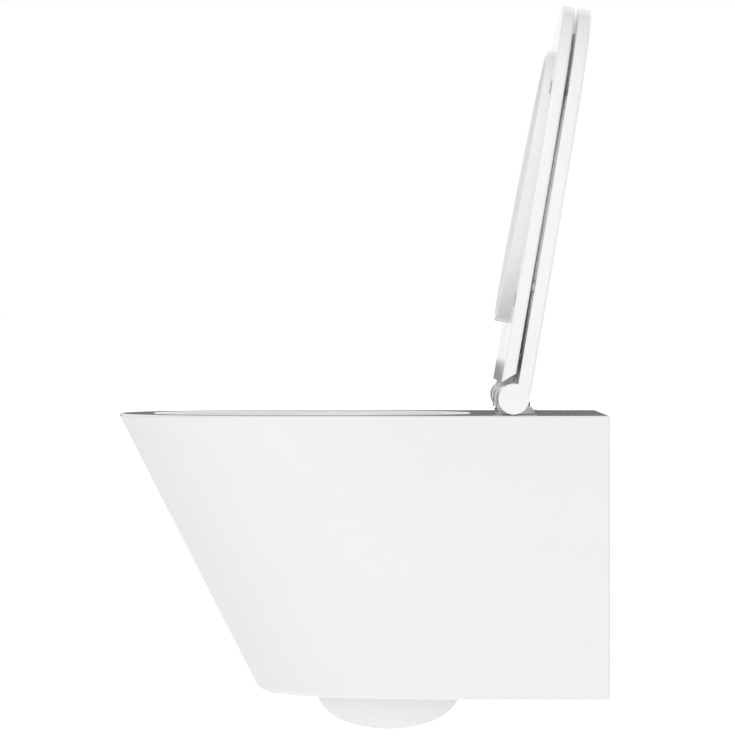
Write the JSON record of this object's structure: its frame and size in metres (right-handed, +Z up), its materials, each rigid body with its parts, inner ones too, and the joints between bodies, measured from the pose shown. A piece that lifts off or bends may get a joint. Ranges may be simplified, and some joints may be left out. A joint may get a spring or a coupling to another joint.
{
  "type": "wall-hung toilet with soft-close seat",
  "caption": "Wall-hung washdown WC pan in glazed china with a slim soft-close seat ring and lid on quick-release hinges, both raised.",
  "frame": {"origin": "on the wall face, midway between the two wall studs", "axes": "+Z up, -Y out from the wall towards the person, +X to the right of someone standing in front and looking at it"},
  "size_m": [0.36, 0.5316, 0.7959],
  "materials": {
    "glazed_china": "glazed vitreous china, glossy white",
    "duroplast": "moulded duroplast, polished white",
    "stainless": "turned and polished stainless steel",
    "zinc_steel": "zinc-plated steel",
    "white_plastic": "moulded white polypropylene",
    "grey_plastic": "moulded grey acetal",
    "clear_rubber": "moulded translucent elastomer",
    "black_rubber": "moulded black rubber"
  },
  "bodies": {
    "pan_body": {"pan_rim": "glazed_china", "pan_skirt": "glazed_china", "pan_bowl": "glazed_china", "pan_trap": "glazed_china", "flush_inlet": "glazed_china", "inlet_pipe": "white_plastic", "inlet_seal": "black_rubber", "outlet_socket": "white_plastic", "outlet_seal": "black_rubber", "wall_stud_right": "zinc_steel", "wall_stud_left": "zinc_steel", "stud_sleeve_right": "white_plastic", "stud_sleeve_left": "white_plastic", "stud_washer_right": "zinc_steel", "stud_washer_left": "zinc_steel", "stud_nut_right": "zinc_steel", "stud_nut_left": "zinc_steel", "hinge_disc_right": "stainless", "hinge_disc_left": "stainless", "hinge_post_right": "stainless", "hinge_post_left": "stainless", "fixing_rubber_right": "black_rubber", "fixing_rubber_left": "black_rubber", "fixing_washer_right": "zinc_steel", "fixing_washer_left": "zinc_steel", "fixing_nut_right": "white_plastic", "fixing_nut_left": "white_plastic", "hinge_block_right": "duroplast", "hinge_block_left": "duroplast", "button_spring_right": "stainless", "button_spring_left": "stainless", "lid_damper_body": "grey_plastic", "lid_damper_cap": "grey_plastic", "seat_damper_body": "grey_plastic", "seat_damper_cap": "grey_plastic"},
    "lid_body": {"lid": "duroplast", "lid_rotor": "stainless", "lid_pin": "stainless", "lid_buffer_front_right": "clear_rubber", "lid_buffer_front_left": "clear_rubber", "lid_buffer_rear_right": "clear_rubber", "lid_buffer_rear_left": "clear_rubber"},
    "seat_body": {"seat_ring": "duroplast", "seat_lip": "duroplast", "seat_rotor": "stainless", "seat_pin": "stainless", "seat_buffer_front_right": "clear_rubber", "seat_buffer_front_left": "clear_rubber", "seat_buffer_rear_right": "clear_rubber", "seat_buffer_rear_left": "clear_rubber"},
    "button_right_body": {"release_button_right": "grey_plastic"},
    "button_left_body": {"release_button_left": "grey_plastic"},
    "bush_right_body": {"eccentric_bush_right": "white_plastic"},
    "bush_left_body": {"eccentric_bush_left": "white_plastic"}
  },
  "joints": [
    {"name": "lid_hinge", "type": "hinge", "parent": "pan_body", "child": "lid_body", "pos_m": [0, -0.103, 0.103], "axis": [1, 0, 0], "range_deg": [0, 99.75]},
    {"name": "seat_hinge", "type": "hinge", "parent": "lid_body", "child": "seat_body", "pos_m": [0, -0.103, 0.103], "axis": [-1, 0, 0], "range_deg": [-99.75, 0]},
    {"name": "button_right", "type": "slide", "parent": "pan_body", "child": "button_right_body", "axis": [0, -1, 0], "range_m": [0, 0.0024], "stiffness_N_per_m": 400, "springref_m": -0.002, "deforming": ["button_spring_right"]},
    {"name": "button_left", "type": "slide", "parent": "pan_body", "child": "button_left_body", "axis": [0, -1, 0], "range_m": [0, 0.0024], "stiffness_N_per_m": 400, "springref_m": -0.002, "deforming": ["button_spring_left"]},
    {"name": "bush_right", "type": "hinge", "parent": "pan_body", "child": "bush_right_body", "pos_m": [0.0775, -0.096, 0.085], "axis": [0, 0, 1], "range_deg": [-90, 90]},
    {"name": "bush_left", "type": "hinge", "parent": "pan_body", "child": "bush_left_body", "pos_m": [-0.0775, -0.096, 0.085], "axis": [0, 0, 1], "range_deg": [-90, 90]}
  ]
}
